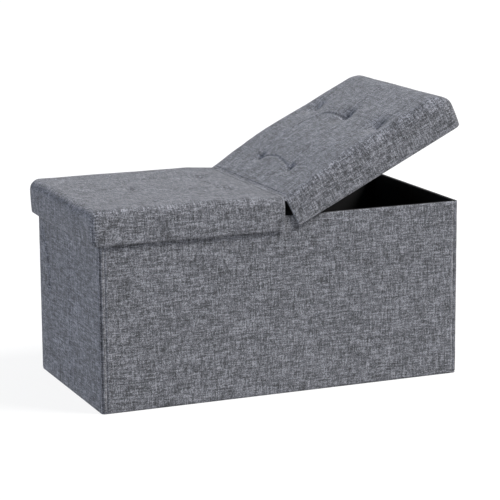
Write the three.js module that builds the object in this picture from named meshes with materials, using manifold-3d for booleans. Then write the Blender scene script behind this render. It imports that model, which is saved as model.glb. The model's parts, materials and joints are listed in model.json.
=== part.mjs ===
// A folding storage bench: a fabric-covered box with a padded lid in two halves.
//
// Millimetres. +X runs along the bench, -Y is its front and +Z is up. The origin is the centre
// of the base board's underside. The bench is built as it stands in use, with the right half of
// the lid turned up on the seam across the middle of the lid.
//
// A wall is a sandwich of three sheets: an outer cover, a fibreboard panel and a thin lining.
// The end walls are split down the middle, so that the box folds flat towards its front wall.

import * as THREE from 'three';
import { mergeVertices } from 'three/addons/utils/BufferGeometryUtils.js';
import Module from 'manifold-3d';

const wasm = await Module();
wasm.setup();

// Driving dimensions.
const BODY_LENGTH = 738;
const BODY_DEPTH = 372;
const WALL_TOP = 346;
const LID_LENGTH = 760;
const LID_DEPTH = 385;
const SEAT_HEIGHT = 386; // floor to the crown of the cushions
const HINGE_HEIGHT = 381.6; // floor to the seam that the lid folds on
const APRON_BOTTOM = 319; // floor to the lower edge of the lid
const LID_ANGLE = 26.3; // degrees, how far the right half is turned up

// Sheets and gaps.
const GAP = 0.3; // between pieces that lie against each other
const COVER = 1.2;
const PANEL = 5;
const LINING = 0.8;
const WALL = COVER + GAP + PANEL + GAP + LINING;
const HEM = 3; // how far a panel stops short of its cover's edge
const CORNER_SEAM = 9; // width of the sewn seam down a corner of the box
const CORNER_ROUND = 7;

// Base.
const BASE_BOARD = 3.2;
const BASE_LINING = 0.5;
const BASE_BAND = 1.2;
const WALL_BOTTOM = BASE_BOARD + BASE_LINING + 2 * GAP + 0.1;

// Lid.
const SEAM_HALF_GAP = 0.5; // from the fold to the facing side of each half
const SEAM_RADIUS = 0.9;
const CROWN_RUN = 52; // from the fold to where the cushion reaches its full height
const EDGE_ROUND = 16; // the lid's top edges
const PLAN_ROUND = 12; // the lid's upright corners
const LID_BOARD = 5;
const LID_LINING = 0.6;
const SIDE_RAIL = 2.5;
const END_RAIL = 3.5;
const RAIL_END_GAP = 12; // from the lid's end to the end of a side rail

// Tufts: how far out from the fold each pair or trio lies, and their places across the lid.
const TUFTS = [[67, -72], [67, 72], [240, -140], [240, 0], [240, 140]];
const TUFT_DEPTH = 10;
const TUFT_MOUTH = 17; // radius of a tuft's dent at the crown
const TUFT_FLOOR = 3; // and at its bottom
const TIE_RADIUS = 0.9;
const TIE_KNOT_RADIUS = 4;
const TIE_STITCH_RADIUS = 2;
const TIE_DISC = 0.6; // thickness of the knot and of the stitch
const KNOT_RECESS = 1.2; // depth of the knot's recess in the board

const fabric = { color: 0x7c7f87, roughness: 0.95, metalness: 0 };
const lining = { color: 0x17171a, roughness: 0.9, metalness: 0 };
const fibreboard = { color: 0x9a7750, roughness: 0.8, metalness: 0 };
const foam = { color: 0xe8e0c8, roughness: 1, metalness: 0 };
const thread = { color: 0x6a6d75, roughness: 0.8, metalness: 0 };

const bench = new THREE.Group();

function addMesh(group, name, geometry, finish) {
  const mesh = new THREE.Mesh(geometry, new THREE.MeshStandardMaterial(finish));
  mesh.name = name;
  group.add(mesh);
}

// A block between two values on each axis, in either order.
function block(xs, ys, zs) {
  const size = [xs, ys, zs].map(([a, b]) => Math.abs(b - a));
  const middle = [xs, ys, zs].map(([a, b]) => (a + b) / 2);
  return new THREE.BoxGeometry(...size).translate(...middle);
}

function toSolid(geometry) {
  const bare = geometry.clone();
  bare.deleteAttribute('normal');
  bare.deleteAttribute('uv');
  const merged = mergeVertices(bare, 1e-4);
  return new wasm.Manifold(new wasm.Mesh({
    numProp: 3,
    vertProperties: Float32Array.from(merged.attributes.position.array),
    triVerts: Uint32Array.from(merged.index.array),
  }));
}

function toGeometry(solid) {
  const mesh = solid.getMesh();
  const geometry = new THREE.BufferGeometry();
  geometry.setAttribute('position', new THREE.BufferAttribute(mesh.vertProperties, 3));
  geometry.setIndex(new THREE.BufferAttribute(mesh.triVerts, 1));
  geometry.computeVertexNormals();
  return geometry;
}

// An upright post of the given radius, from one height to another.
function post(radius, [low, high], [x, y], sides = 16) {
  const geometry = new THREE.CylinderGeometry(radius, radius, high - low, sides);
  return geometry.rotateX(Math.PI / 2).translate(x, y, (low + high) / 2);
}

// A quarter turn of an arc about (cx, cy), in the given number of steps.
function quarter(cx, cy, radius, startDegrees, steps = 5) {
  return Array.from({ length: steps + 1 }, (_, i) => {
    const angle = THREE.MathUtils.degToRad(startDegrees + 90 * i / steps);
    return new THREE.Vector2(cx + radius * Math.cos(angle), cy + radius * Math.sin(angle));
  });
}

// A flat plate between two heights, with the box's outline drawn in by inset.
function basePlate(inset, [low, high]) {
  const x = BODY_LENGTH / 2 - inset;
  const y = BODY_DEPTH / 2 - inset;
  const round = CORNER_ROUND - inset;
  const outline = [
    ...quarter(x - round, y - round, round, 0),
    ...quarter(-x + round, y - round, round, 90),
    ...quarter(-x + round, -y + round, round, 180),
    ...quarter(x - round, -y + round, round, 270),
  ];
  const settings = { depth: high - low, bevelEnabled: false };
  return new THREE.ExtrudeGeometry(new THREE.Shape(outline), settings).translate(0, 0, low);
}

// ---- Base ----

function addBase() {
  const inset = BASE_BAND + GAP;
  const liningBottom = BASE_BOARD + GAP;
  const liningHeights = [liningBottom, liningBottom + BASE_LINING];
  addMesh(bench, 'base_board', basePlate(inset, [0, BASE_BOARD]), fibreboard);
  addMesh(bench, 'base_lining', basePlate(inset, liningHeights), lining);

  // The band of cover fabric round the base. Along the front the wall's own cover hangs over
  // the base's edge instead.
  const outer = toSolid(basePlate(0, [GAP, WALL_BOTTOM - GAP]));
  const inner = toSolid(basePlate(BASE_BAND, [-1, WALL_BOTTOM]));
  const frontRun = BODY_LENGTH / 2 - CORNER_SEAM;
  const front = block([-frontRun, frontRun], [-BODY_DEPTH, 0], [-1, WALL_BOTTOM]);
  const band = outer.subtract(inner).subtract(toSolid(front));
  addMesh(bench, 'base_edge_band', toGeometry(band), fabric);
}

// ---- Walls ----

// The three sheets of a wall. across gives the wall's place along its length, and outwards is
// the axis and the side that its cover faces.
function addWall(name, across, axis, side, coverBottom = WALL_BOTTOM) {
  const face = side * (axis === 'x' ? BODY_LENGTH : BODY_DEPTH) / 2;
  const depths = (from, thickness) => [face - side * from, face - side * (from + thickness)];
  const panelRun = [across[0] + HEM, across[1] - HEM];
  const panelHeights = [WALL_BOTTOM, WALL_TOP - HEM];
  const place = (run, depth, heights) => (
    axis === 'x' ? block(depth, run, heights) : block(run, depth, heights)
  );
  const cover = place(across, depths(0, COVER), [coverBottom, WALL_TOP]);
  const panel = place(panelRun, depths(COVER + GAP, PANEL), panelHeights);
  const liningDepth = depths(COVER + PANEL + 2 * GAP, LINING);
  const inside = place(across, liningDepth, [WALL_BOTTOM, WALL_TOP]);
  addMesh(bench, `${name}_cover`, cover, fabric);
  addMesh(bench, `${name}_panel`, panel, fibreboard);
  addMesh(bench, `${name}_lining`, inside, lining);
}

// The sewn seam down one corner of the box, rounded on its outer edge.
function addCornerSeam(name, xSide, ySide) {
  const x = xSide * BODY_LENGTH / 2;
  const y = ySide * BODY_DEPTH / 2;
  const outline = [
    ...quarter(CORNER_ROUND, CORNER_ROUND, CORNER_ROUND, 180),
    new THREE.Vector2(CORNER_SEAM, 0),
    new THREE.Vector2(CORNER_SEAM, WALL),
    new THREE.Vector2(0, WALL),
  ];
  const height = WALL_TOP - WALL_BOTTOM;
  const turned = outline.map((p) => new THREE.Vector2(x - xSide * p.x, y - ySide * p.y));
  if (THREE.ShapeUtils.isClockWise(turned)) turned.reverse();
  const settings = { depth: height, bevelEnabled: false };
  const geometry = new THREE.ExtrudeGeometry(new THREE.Shape(turned), settings);
  addMesh(bench, name, geometry.translate(0, 0, WALL_BOTTOM), fabric);
}

function addBox() {
  const longRun = BODY_LENGTH / 2 - CORNER_SEAM - GAP;
  const endRun = BODY_DEPTH / 2 - WALL - GAP;
  addWall('front_wall', [-longRun, longRun], 'y', -1, GAP);
  addWall('back_wall', [-longRun, longRun], 'y', 1);
  for (const [end, side] of [['left', -1], ['right', 1]]) {
    addWall(`${end}_end_front`, [-endRun, -GAP / 2], 'x', side);
    addWall(`${end}_end_back`, [GAP / 2, endRun], 'x', side);
    addCornerSeam(`front_${end}_corner_seam`, side, -1);
    addCornerSeam(`back_${end}_corner_seam`, side, 1);
  }
}

// ---- Lid ----
// Each half is built about the fold: u runs out from the fold, y across the lid and w up, with
// zero at the seam's own height.

const crown = SEAT_HEIGHT - HINGE_HEIGHT;
const apronBottom = APRON_BOTTOM - HINGE_HEIGHT;
const liningBottom = WALL_TOP + GAP - HINGE_HEIGHT;
const boardBottom = liningBottom + LID_LINING + GAP;
const cushionBottom = boardBottom + LID_BOARD + GAP;

// Extrudes an outline over a length centred on zero, then turns it so that the outline's two
// axes and the extrusion lie along the given ones.
function extrudeAlong(points, length, axisA, axisB, axisC) {
  const settings = { depth: length, bevelEnabled: false };
  const geometry = new THREE.ExtrudeGeometry(new THREE.Shape(points), settings);
  geometry.translate(0, 0, -length / 2);
  return geometry.applyMatrix4(new THREE.Matrix4().makeBasis(axisA, axisB, axisC));
}

// The outside of half a lid, drawn in by inset on every side, from the height low up to the
// cushion's crown. It is what three outlines have in common: the one seen from the front, the
// one seen from the end and the one seen from above.
function lidForm(inset, low) {
  const X = new THREE.Vector3(1, 0, 0);
  const Y = new THREE.Vector3(0, 1, 0);
  const Z = new THREE.Vector3(0, 0, 1);
  const first = SEAM_HALF_GAP + inset;
  const last = LID_LENGTH / 2 - inset;
  const side = LID_DEPTH / 2 - inset;
  const top = crown - inset;
  const round = EDGE_ROUND - inset;
  const planRound = PLAN_ROUND - inset;

  const fromFront = [
    new THREE.Vector2(first, low),
    new THREE.Vector2(last, low),
    ...quarter(last - round, top - round, round, 0),
    new THREE.Vector2(CROWN_RUN, top),
    new THREE.Vector2(first, -inset),
  ];
  const fromEnd = [
    new THREE.Vector2(-side, low),
    new THREE.Vector2(side, low),
    ...quarter(side - round, top - round, round, 0),
    ...quarter(-side + round, top - round, round, 90),
  ];
  const fromAbove = [
    new THREE.Vector2(first, -side),
    ...quarter(last - planRound, -side + planRound, planRound, 270),
    ...quarter(last - planRound, side - planRound, planRound, 0),
    new THREE.Vector2(first, side),
  ];
  const wide = 2 * LID_LENGTH;
  const frontForm = extrudeAlong(fromFront, wide, X, Z, Y.clone().negate());
  const endForm = extrudeAlong(fromEnd, wide, Y, Z, X);
  const planForm = extrudeAlong(fromAbove, wide, X, Y, Z);
  return toSolid(frontForm).intersect(toSolid(endForm)).intersect(toSolid(planForm));
}

// The cone that a tuft's dent takes out of the cushion, drawn out by inset.
function dent(inset, [u, y]) {
  const floor = crown - TUFT_DEPTH - inset;
  const height = TUFT_DEPTH + inset;
  const above = 0.5; // share of the cone's height that it reaches past the crown
  const flare = (TUFT_MOUTH - TUFT_FLOOR) * (1 + above);
  const radius = TUFT_FLOOR + inset;
  const cone = new THREE.CylinderGeometry(radius + flare, radius, height * (1 + above), 24);
  cone.rotateX(Math.PI / 2).translate(u, y, floor + height * (1 + above) / 2);
  return toSolid(cone);
}

function withDents(form, inset) {
  return TUFTS.reduce((solid, place) => solid.subtract(dent(inset, place)), form);
}

function withHoles(form, low, high) {
  const hole = (place) => toSolid(post(TIE_RADIUS + GAP, [low, high], place));
  return TUFTS.reduce((solid, place) => solid.subtract(hole(place)), form);
}

// The skin over the cushion and the aprons, open below and below the board on the fold's side.
function lidCover() {
  const cavity = withDents(lidForm(COVER, apronBottom - 10), COVER);
  const whole = withDents(lidForm(0, apronBottom), 0).subtract(cavity);
  const skin = withHoles(whole, cushionBottom, crown);
  const side = LID_DEPTH / 2 - COVER;
  const opening = block([-1, SEAM_HALF_GAP + COVER + 1], [-side, side], [apronBottom - 1, liningBottom]);
  const seam = new THREE.CylinderGeometry(SEAM_RADIUS + GAP, SEAM_RADIUS + GAP, 2 * LID_DEPTH, 16);
  return skin.subtract(toSolid(opening)).subtract(toSolid(seam));
}

function lidCushion() {
  const inset = COVER + GAP;
  return withHoles(withDents(lidForm(inset, cushionBottom), inset), cushionBottom - 1, crown);
}

function lidBoard() {
  const top = boardBottom + LID_BOARD;
  const above = block([-1, LID_LENGTH], [-LID_DEPTH, LID_DEPTH], [top, top + 100]);
  const plate = lidForm(COVER + GAP, boardBottom).subtract(toSolid(above));
  const knotHeights = [boardBottom - 1, boardBottom + KNOT_RECESS];
  const recess = (place) => toSolid(post(TIE_KNOT_RADIUS + GAP, knotHeights, place));
  const board = withHoles(plate, boardBottom - 1, top + 1);
  return TUFTS.reduce((solid, place) => solid.subtract(recess(place)), board);
}

// One thread tie: a knot under the board, the thread, and the stitch on top of the cover that
// holds the tuft's dent down.
function tuftTie([u, y]) {
  const knot = boardBottom + GAP;
  const stitch = crown - TUFT_DEPTH + GAP;
  const profile = [
    [0, knot], [TIE_KNOT_RADIUS, knot], [TIE_KNOT_RADIUS, knot + TIE_DISC],
    [TIE_RADIUS, knot + TIE_DISC], [TIE_RADIUS, stitch], [TIE_STITCH_RADIUS, stitch],
    [TIE_STITCH_RADIUS, stitch + TIE_DISC], [0, stitch + TIE_DISC],
  ].map(([r, h]) => new THREE.Vector2(r, h));
  return new THREE.LatheGeometry(profile, 12).rotateX(Math.PI / 2).translate(u, y, 0);
}

// The thin lining under the board and inside the aprons: a shallow tray, upside down.
function lidLining() {
  const last = LID_LENGTH / 2 - COVER - END_RAIL - 2 * GAP;
  const side = LID_DEPTH / 2 - COVER - SIDE_RAIL - 2 * GAP;
  const first = SEAM_HALF_GAP + COVER + GAP;
  const low = apronBottom + 2;
  const outer = block([first, last], [-side, side], [low, liningBottom + LID_LINING]);
  const hollow = block(
    [first - 1, last - LID_LINING],
    [-side + LID_LINING, side - LID_LINING],
    [low - 1, liningBottom],
  );
  return toSolid(outer).subtract(toSolid(hollow));
}

function lidRails() {
  const high = boardBottom - GAP;
  const low = apronBottom + 2;
  const side = LID_DEPTH / 2 - COVER - GAP;
  const last = LID_LENGTH / 2 - COVER - GAP;
  const sideRun = [SEAM_HALF_GAP + COVER + GAP, LID_LENGTH / 2 - RAIL_END_GAP];
  const endRun = [-LID_DEPTH / 2 + RAIL_END_GAP, LID_DEPTH / 2 - RAIL_END_GAP];
  return {
    negativeY: block(sideRun, [-side, -side + SIDE_RAIL], [low, high]),
    positiveY: block(sideRun, [side - SIDE_RAIL, side], [low, high]),
    end: block([last - END_RAIL, last], endRun, [low, high]),
  };
}

function addLidHalf(group, name, frontIsNegative) {
  const rails = lidRails();
  const [front, back] = frontIsNegative
    ? [rails.negativeY, rails.positiveY]
    : [rails.positiveY, rails.negativeY];
  addMesh(group, `${name}_cover`, toGeometry(lidCover()), fabric);
  addMesh(group, `${name}_cushion`, toGeometry(lidCushion()), foam);
  addMesh(group, `${name}_board`, toGeometry(lidBoard()), fibreboard);
  addMesh(group, `${name}_lining`, toGeometry(lidLining()), lining);
  addMesh(group, `${name}_front_rail`, front, fibreboard);
  addMesh(group, `${name}_back_rail`, back, fibreboard);
  addMesh(group, `${name}_end_rail`, rails.end, fibreboard);
  TUFTS.forEach((place, i) => {
    addMesh(group, `${name}_tuft_tie_${i + 1}`, tuftTie(place), thread);
  });
}

function addLid() {
  const left = new THREE.Group();
  left.position.z = HINGE_HEIGHT;
  left.rotation.z = Math.PI;
  addLidHalf(left, 'lid_left', false);
  const seam = new THREE.CylinderGeometry(SEAM_RADIUS, SEAM_RADIUS, LID_DEPTH - 10, 12);
  addMesh(left, 'lid_hinge_seam', seam, thread);

  const right = new THREE.Group();
  right.position.z = HINGE_HEIGHT;
  right.rotation.y = -THREE.MathUtils.degToRad(LID_ANGLE);
  addLidHalf(right, 'lid_right', true);
  bench.add(left, right);
}

addBase();
addBox();
addLid();

export default bench;
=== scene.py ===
import json
import math

import bpy
import numpy as np
from mathutils import Matrix, Vector, noise
from mathutils.bvhtree import BVHTree


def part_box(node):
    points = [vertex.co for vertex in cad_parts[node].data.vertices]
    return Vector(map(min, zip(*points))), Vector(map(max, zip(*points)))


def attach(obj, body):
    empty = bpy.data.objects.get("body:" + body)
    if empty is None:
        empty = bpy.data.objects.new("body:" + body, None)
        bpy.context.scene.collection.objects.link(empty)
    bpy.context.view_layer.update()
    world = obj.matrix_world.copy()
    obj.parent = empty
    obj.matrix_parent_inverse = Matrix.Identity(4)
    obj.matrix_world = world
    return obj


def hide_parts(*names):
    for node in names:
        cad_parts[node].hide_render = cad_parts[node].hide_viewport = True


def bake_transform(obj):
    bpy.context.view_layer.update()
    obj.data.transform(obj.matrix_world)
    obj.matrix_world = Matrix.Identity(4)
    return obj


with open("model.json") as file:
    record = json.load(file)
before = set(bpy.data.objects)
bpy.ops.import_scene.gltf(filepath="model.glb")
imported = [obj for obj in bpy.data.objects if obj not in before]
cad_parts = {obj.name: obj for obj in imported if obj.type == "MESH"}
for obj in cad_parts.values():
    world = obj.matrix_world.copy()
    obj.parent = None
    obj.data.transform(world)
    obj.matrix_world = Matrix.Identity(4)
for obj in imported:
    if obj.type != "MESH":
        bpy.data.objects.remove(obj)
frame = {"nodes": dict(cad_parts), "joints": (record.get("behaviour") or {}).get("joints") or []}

scene = bpy.context.scene
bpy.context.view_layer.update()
mm = 0.001

# Places, all from the frame
lidLow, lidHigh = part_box("lid_left_cover")
foldLow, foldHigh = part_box("lid_hinge_seam")
foldHeight = (foldLow.z + foldHigh.z) / 2
foldJoint = next(j for j in frame["joints"] if j["name"] == "lid_fold")
lidAngle = math.radians(-foldJoint["range_deg"][0])  # how far the right half stands open at rest
frontLow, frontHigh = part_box("front_wall_cover")
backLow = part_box("back_wall_cover")[0]
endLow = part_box("left_end_front_cover")[0]
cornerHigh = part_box("front_left_corner_seam")[1]
wallTop = frontHigh.z
bodyX = -endLow.x  # outer faces of the body
bodyY = -frontLow.y


def addObject(name, data):
    obj = bpy.data.objects.new(name, data)
    scene.collection.objects.link(obj)
    return obj


camera = {
    "lens": 156.9,
    "azimuth": -22.62,
    "elevation": 11.90,
    "roll": -0.41,
    "distance": 4.299,
    "target": (0.0068, 0.0, 0.2440),
}


def makeCamera(c):
    a, e, r = (math.radians(c[k]) for k in ("azimuth", "elevation", "roll"))
    back = Vector((math.sin(a) * math.cos(e), -math.cos(a) * math.cos(e), math.sin(e)))
    right = (-back).cross(Vector((0, 0, 1))).normalized()
    upward = right.cross(-back)
    tilted = right * math.cos(r) + upward * math.sin(r)
    data = bpy.data.cameras.new("camera")
    data.lens = c["lens"]
    data.clip_end = 100
    obj = addObject("camera", data)
    turn = Matrix((tilted, back.cross(tilted), back)).transposed()
    obj.matrix_world = Matrix.Translation(Vector(c["target"]) + back * c["distance"]) @ turn.to_4x4()
    scene.camera = obj


makeCamera(camera)

lights = {
    "zenith": "#DCE9FF",
    "horizon": "#FFFFFF",
    "zenithStrength": 0.52,
    "horizonStrength": 0.10,
    "bandTop": 0.125,  # a white band runs round the horizon up to this sine of its height
    "bandFade": 0.03,
    "suns": [  # name, strength, angle across in degrees, colour, direction it comes from
        ("overhead", 6.6, 22, "#FFFDFA", (0.75, -0.47, 1.0)),
        ("leftSide", 2.7, 50, "#D6E4FF", (-1.0, -0.25, 0.04)),
    ],
}


def linear(hexColor):  # sRGB hex to the linear values that shaders take
    parts = [int(hexColor[i:i + 2], 16) / 255 for i in (1, 3, 5)]
    return [*(c / 12.92 if c <= 0.04045 else ((c + 0.055) / 1.055) ** 2.4 for c in parts), 1.0]


def makeLights(c):  # a sky that is bright overhead and dim at the horizon, and wide soft suns
    world = bpy.data.worlds.new("studio")
    scene.world = world
    world.use_nodes = True
    tree = world.node_tree
    sky = tree.nodes["Background"]
    place = tree.nodes.new("ShaderNodeTexCoord")
    parts = tree.nodes.new("ShaderNodeSeparateXYZ")
    ramp = tree.nodes.new("ShaderNodeValToRGB")
    tree.links.new(place.outputs["Generated"], parts.inputs[0])
    tree.links.new(parts.outputs["Z"], ramp.inputs["Fac"])
    low, high = linear(c["horizon"]), linear(c["zenith"])
    stops = ramp.color_ramp.elements
    stops[0].position, stops[0].color = c["bandTop"], low
    stops[1].color = [v * c["zenithStrength"] for v in high[:3]] + [1.0]
    above = stops.new(c["bandTop"] + c["bandFade"])
    above.color = [v * c["horizonStrength"] for v in low[:3]] + [1.0]
    tree.links.new(ramp.outputs["Color"], sky.inputs["Color"])
    for name, strength, angle, color, direction in c["suns"]:
        data = bpy.data.lights.new(name, "SUN")
        data.energy = strength
        data.angle = math.radians(angle)
        data.color = linear(color)[:3]
        obj = addObject(name, data)
        obj.rotation_euler = Vector(direction).to_track_quat("Z", "Y").to_euler()
    scene.view_settings.view_transform = "Standard"


makeLights(lights)
print("camera and lights in place")


def node(tree, kind, settings=None, **sources):
    # Adds a node. Each source is a number or a socket, for the input of that name or number (i0, i1)
    made = tree.nodes.new(kind)
    for key, value in (settings or {}).items():
        if key in made.inputs:
            made.inputs[key].default_value = value
        else:
            setattr(made, key, value)
    for key, source in sources.items():
        target = made.inputs[int(key[1:]) if key[0] == "i" and key[1:].isdigit() else key]
        if isinstance(source, (int, float)):
            target.default_value = source
        else:
            tree.links.new(source, target)
    return made


def newMaterial(name, settings):  # settings are for the shader's inputs, by name
    made = bpy.data.materials.new(name)
    made.use_nodes = True
    tree = made.node_tree
    shader = tree.nodes["Principled BSDF"]
    for key, value in settings.items():
        shader.inputs[key].default_value = value
    return made, tree, shader


def calc(tree, operation, *values):  # arithmetic on numbers or sockets
    sources = {f"i{i}": value for i, value in enumerate(values)}
    return node(tree, "ShaderNodeMath", {"operation": operation}, **sources).outputs[0]


def vector(tree, x, y, z=0.0):
    return node(tree, "ShaderNodeCombineXYZ", None, X=x, Y=y, Z=z).outputs[0]


def objectPlace(tree):
    return node(tree, "ShaderNodeTexCoord").outputs["Object"]


def paint(tree, shader, factor, *stops):  # colours a shader by a ramp; stops are places and hex colours
    ramp = node(tree, "ShaderNodeValToRGB", None, Fac=factor)
    elements = ramp.color_ramp.elements
    for i, (place, color) in enumerate(stops):
        stop = elements[i] if i < 2 else elements.new(place)
        stop.position = place
        stop.color = linear(color)
    tree.links.new(ramp.outputs["Color"], shader.inputs["Base Color"])


def emboss(tree, shader, height, strength, distance):  # bumps a shader by a height
    bump = node(tree, "ShaderNodeBump", {"Strength": strength, "Distance": distance}, Height=height)
    tree.links.new(bump.outputs["Normal"], shader.inputs["Normal"])


linenLook = {
    "thread": 1.5 * mm,  # real threads are near 0.5 mm; drawn this coarse so that they show
    "speck": 1.35 * mm,
    "slub": 20 * mm,  # how long a thick or thin stretch of a thread runs
    "dark": "#212224",
    "middle": "#4B4C51",
    "light": "#7F8086",
    "bundle": 1.4,  # threads that lie together as one thicker yarn
    "spread": 1.7,  # contrast between threads
    "gain": 1.75,  # times spread
    "fineShare": 0.55,  # of a thread's tone, from its own slubs; the rest is its bundle's
    "bundleShare": 0.45,
    "onTop": 0.2,  # how much more the upper thread shows than the lower one
    "cloud": 0.08,  # slow changes of tone over the cloth
    "grain": 0.5,  # how much each crossing differs from the next
    "threadStep": 5.17,  # noise is read this far apart for neighbouring threads
    "bundleStep": 7.31,
    "weftShift": 71.3,
    "bump": 0.35 * mm,
    "shader": {"Roughness": 0.92, "Sheen Weight": 0.12, "Sheen Roughness": 0.6, "Specular IOR Level": 0.25},
}


def makeLinen(name, c, fromUv):
    # Polyester linen, plain woven from heathered slub yarn: a soft matt crosshatch of light and dark
    made, tree, shader = newMaterial(name, c["shader"])
    if fromUv:
        place = node(tree, "ShaderNodeUVMap", {"uv_map": "weave"}).outputs["UV"]
        parts = node(tree, "ShaderNodeSeparateXYZ", Vector=place).outputs
        across, along = parts["X"], parts["Y"]
    else:
        place = objectPlace(tree)
        parts = node(tree, "ShaderNodeSeparateXYZ", Vector=place).outputs
        across, along = calc(tree, "ADD", parts["X"], parts["Y"]), parts["Z"]
    numbers, slubs, humps = [], [], []
    for width, length, shift in ((across, along, 0.0), (along, across, c["weftShift"])):  # warp, weft
        at = calc(tree, "DIVIDE", width, c["thread"])
        run = calc(tree, "DIVIDE", length, c["slub"])
        number = calc(tree, "FLOOR", at)
        spot = vector(tree, calc(tree, "MULTIPLY", number, c["threadStep"]), run, shift)
        fine = node(tree, "ShaderNodeTexNoise", {"Scale": 1.0, "Detail": 3.0, "Roughness": 0.75},
                    Vector=spot)
        pair = calc(tree, "FLOOR", calc(tree, "MULTIPLY", number, 1 / c["bundle"]))
        bundleRun = calc(tree, "MULTIPLY", run, 0.8)
        spot = vector(tree, calc(tree, "MULTIPLY", pair, c["bundleStep"]), bundleRun, shift + 9.0)
        bundle = node(tree, "ShaderNodeTexNoise", {"Scale": 1.0, "Detail": 1.0}, Vector=spot)
        slack = calc(tree, "MULTIPLY", bundle.outputs["Fac"], c["bundleShare"])
        numbers.append(number)
        slubs.append(calc(tree, "MULTIPLY_ADD", fine.outputs["Fac"], c["fineShare"], slack))
        humps.append(calc(tree, "SINE", calc(tree, "MULTIPLY", calc(tree, "FRACT", at), math.pi)))
    over = calc(tree, "PINGPONG", calc(tree, "ADD", *numbers), 1.0)  # which thread is on top
    share = calc(tree, "MULTIPLY_ADD", over, c["onTop"], (1 - c["onTop"]) / 2)
    top = node(tree, "ShaderNodeMix", {"data_type": "FLOAT"}, i0=share, i2=slubs[0], i3=slubs[1]).outputs[0]
    cloud = node(tree, "ShaderNodeTexNoise", {"Scale": 9.0, "Detail": 3.0}, Vector=place).outputs["Fac"]
    speckAt = vector(tree, calc(tree, "FLOOR", calc(tree, "DIVIDE", across, c["speck"])),
                     calc(tree, "FLOOR", calc(tree, "DIVIDE", along, c["speck"])))
    cell = node(tree, "ShaderNodeTexWhiteNoise", {"noise_dimensions": "2D"}, Vector=speckAt)
    parts = ((top, c["gain"] * c["spread"]), (cloud, c["cloud"]), (cell.outputs["Value"], c["grain"]))
    tone = 0.5
    for part, strength in parts:
        tone = calc(tree, "MULTIPLY_ADD", calc(tree, "SUBTRACT", part, 0.5), strength, tone)
    paint(tree, shader, tone, (0.12, c["dark"]), (0.88, c["light"]), (0.5, c["middle"]))
    raised = node(tree, "ShaderNodeMix", {"data_type": "FLOAT"}, i0=over, i2=humps[0], i3=humps[1])
    emboss(tree, shader, calc(tree, "MULTIPLY_ADD", top, 0.8, raised.outputs[0]), 0.5, c["bump"])
    return made


nonwovenLook = {
    "color": "#070708",
    "worn": "#0E0E10",
    "cell": 1.6 * mm,  # the bonded dots of spunbond cloth
    "bump": 0.15 * mm,
    "shader": {"Roughness": 0.88, "Specular IOR Level": 0.2},
}


def makeNonwoven(c):
    # Black spunbond polypropylene, pressed with a grid of bonded dots: dull, faintly dimpled
    made, tree, shader = newMaterial("nonwovenSpunbond", c["shader"])
    place = objectPlace(tree)
    dots = node(tree, "ShaderNodeTexVoronoi", {"Scale": 1 / c["cell"], "Randomness": 0.25}, Vector=place)
    fibres = node(tree, "ShaderNodeTexNoise", {"Scale": 900.0, "Detail": 4.0, "Distortion": 1.5},
                  Vector=place)
    dust = node(tree, "ShaderNodeTexNoise", {"Scale": 14.0, "Detail": 5.0}, Vector=place)
    paint(tree, shader, dust.outputs["Fac"], (0.35, c["color"]), (0.75, c["worn"]))
    height = calc(tree, "MULTIPLY_ADD", fibres.outputs["Fac"], 0.5, dots.outputs["Distance"])
    emboss(tree, shader, height, 0.6, c["bump"])
    return made


boardLook = {
    "dark": "#6B4C32",
    "light": "#9A7650",
    "fibre": 2.5 * mm,
    "bump": 0.1 * mm,
    "shader": {"Roughness": 0.8},
}


def makeFibreboard(c):
    # Medium density fibreboard, pressed and sawn: short pale fibres in a brown ground, without grain
    made, tree, shader = newMaterial("fibreboardPressed", c["shader"])
    place = objectPlace(tree)
    fibres = node(tree, "ShaderNodeTexNoise", {"Scale": 1 / c["fibre"], "Detail": 6.0, "Distortion": 2.0},
                  Vector=place)
    blotch = node(tree, "ShaderNodeTexNoise", {"Scale": 12.0, "Detail": 3.0}, Vector=place)
    tone = calc(tree, "MULTIPLY_ADD", blotch.outputs["Fac"], 0.35, fibres.outputs["Fac"])
    paint(tree, shader, tone, (0.45, c["dark"]), (0.9, c["light"]))
    emboss(tree, shader, fibres.outputs["Fac"], 0.4, c["bump"])
    return made


threadLook = {
    "color": "#6E7078",
    "shade": "#4C4E55",
    "twist": 0.9 * mm,
    "bump": 0.15 * mm,
    "shader": {"Roughness": 0.55, "Sheen Weight": 0.3},
}


def makeThread(c):
    # Twisted polyester sewing thread: three plies, a slight silky gleam along the twist
    made, tree, shader = newMaterial("threadPolyester", c["shader"])
    place = objectPlace(tree)
    plies = node(tree, "ShaderNodeTexWave", {"Scale": 1 / c["twist"], "Distortion": 1.2, "Detail": 1.0,
                                              "bands_direction": "DIAGONAL"}, Vector=place)
    paint(tree, shader, plies.outputs["Fac"], (0.0, c["shade"]), (1.0, c["color"]))
    emboss(tree, shader, plies.outputs["Fac"], 0.5, c["bump"])
    return made


floorLook = {
    "color": "#4C4C4C",
    "speck": "#494949",
    "grain": 4 * mm,
    "shader": {"Roughness": 0.8, "Emission Color": linear("#FFFFFF"), "Emission Strength": 0.89},
}


def makeBackdropMaterial(c):
    # A backlit white studio sweep with a faint tooth, on which shadows stay pale
    made, tree, shader = newMaterial("acrylicBacklitWhite", c["shader"])
    place = objectPlace(tree)
    tooth = node(tree, "ShaderNodeTexNoise", {"Scale": 1 / c["grain"], "Detail": 2.0}, Vector=place)
    paint(tree, shader, tooth.outputs["Fac"], (0.0, c["speck"]), (1.0, c["color"]))
    return made


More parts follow.
